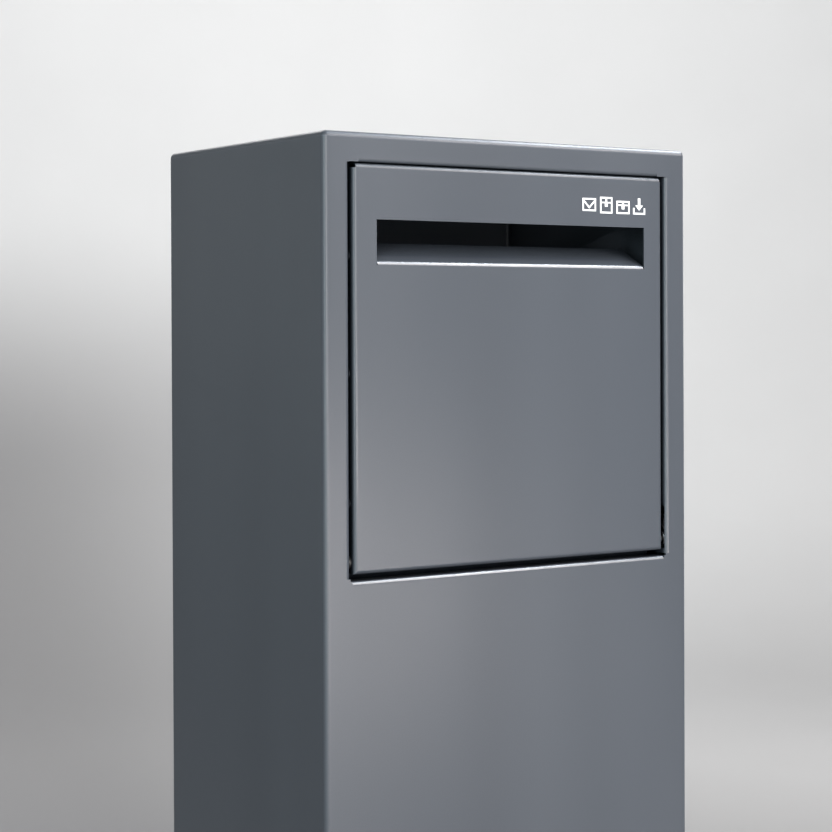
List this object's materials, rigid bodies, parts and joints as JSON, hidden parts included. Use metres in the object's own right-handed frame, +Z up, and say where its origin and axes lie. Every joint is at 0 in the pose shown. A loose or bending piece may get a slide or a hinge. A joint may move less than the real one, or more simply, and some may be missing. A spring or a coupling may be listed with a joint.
{
  "type": "parcel drop box",
  "caption": "Tall free-standing sheet-steel parcel drop box with a tipping hopper flap, a letter slot in the flap and a locked retrieval door at the back.",
  "frame": {"origin": "centre of the footprint, on the floor", "axes": "+Z up, +X to the right of someone facing the flap, -Y towards that person"},
  "size_m": [0.4, 0.2804, 1.1],
  "materials": {
    "body_coat": "satin anthracite powder coat with a fine smooth orange peel",
    "flap_coat": "satin anthracite powder coat with a fine smooth orange peel",
    "inner_coat": "satin anthracite powder coat, thinner inside the box",
    "zinc_steel": "bright zinc-plated steel",
    "spring_steel": "drawn spring wire, lightly oiled",
    "lock_nickel": "nickel-plated zinc casting, satin",
    "black_rubber": "matt black moulded rubber",
    "mat_rubber": "matt ribbed rubber mat",
    "black_nylon": "black moulded nylon",
    "white_vinyl": "matt white self-adhesive film"
  },
  "bodies": {
    "box": {"body_shell": "body_coat", "rear_post_left": "body_coat", "rear_post_right": "body_coat", "roof_panel": "body_coat", "base_plate": "inner_coat", "rear_panel": "body_coat", "floor_mat": "mat_rubber", "door_jamb_hinge_side": "inner_coat", "door_jamb_lock_side": "inner_coat", "door_buffers": "black_rubber", "door_bracket_upper": "zinc_steel", "door_bracket_lower": "zinc_steel", "door_pivot_washer": "black_nylon", "hinge_bracket_left": "zinc_steel", "hinge_bracket_right": "zinc_steel", "hinge_pin_left": "zinc_steel", "hinge_pin_right": "zinc_steel", "return_spring_left": "spring_steel", "return_spring_right": "spring_steel", "bumper_bracket_left": "inner_coat", "bumper_bracket_right": "inner_coat", "flap_bumpers": "black_rubber", "chute_baffle": "inner_coat", "baffle_rivets": "zinc_steel"},
    "hopper": {"flap_panel": "flap_coat", "cheek_left": "inner_coat", "cheek_right": "inner_coat", "chute_tray": "inner_coat", "hinge_bush_left": "black_nylon", "hinge_bush_right": "black_nylon", "cheek_rivets": "flap_coat", "tray_rivets": "zinc_steel", "stop_pads": "black_rubber", "parcel_symbols": "white_vinyl"},
    "door": {"door_panel": "body_coat", "door_stiffener": "inner_coat", "pivot_block_upper": "zinc_steel", "pivot_block_lower": "zinc_steel", "pivot_pin_upper": "zinc_steel", "pivot_pin_lower": "zinc_steel", "lock_barrel": "lock_nickel", "lock_nut": "lock_nickel"},
    "lock_core": {"lock_plug": "lock_nickel", "lock_cam": "zinc_steel", "cam_screw": "zinc_steel"}
  },
  "joints": [
    {"name": "flap_swing", "type": "hinge", "parent": "box", "child": "hopper", "pos_m": [0, -0.13, 0.7354], "axis": [1, 0, 0], "range_deg": [0, 60], "stiffness_Nm_per_rad": 1, "springref_deg": -28.65, "deforming": ["return_spring_left", "return_spring_right"]},
    {"name": "door_swing", "type": "hinge", "parent": "box", "child": "door", "pos_m": [-0.157, 0.131, 0.352], "axis": [0, 0, 1], "range_deg": [0, 110]},
    {"name": "lock_turn", "type": "hinge", "parent": "door", "child": "lock_core", "pos_m": [0.136, 0.118, 0.352], "axis": [0, -1, 0], "range_deg": [0, 90]}
  ]
}
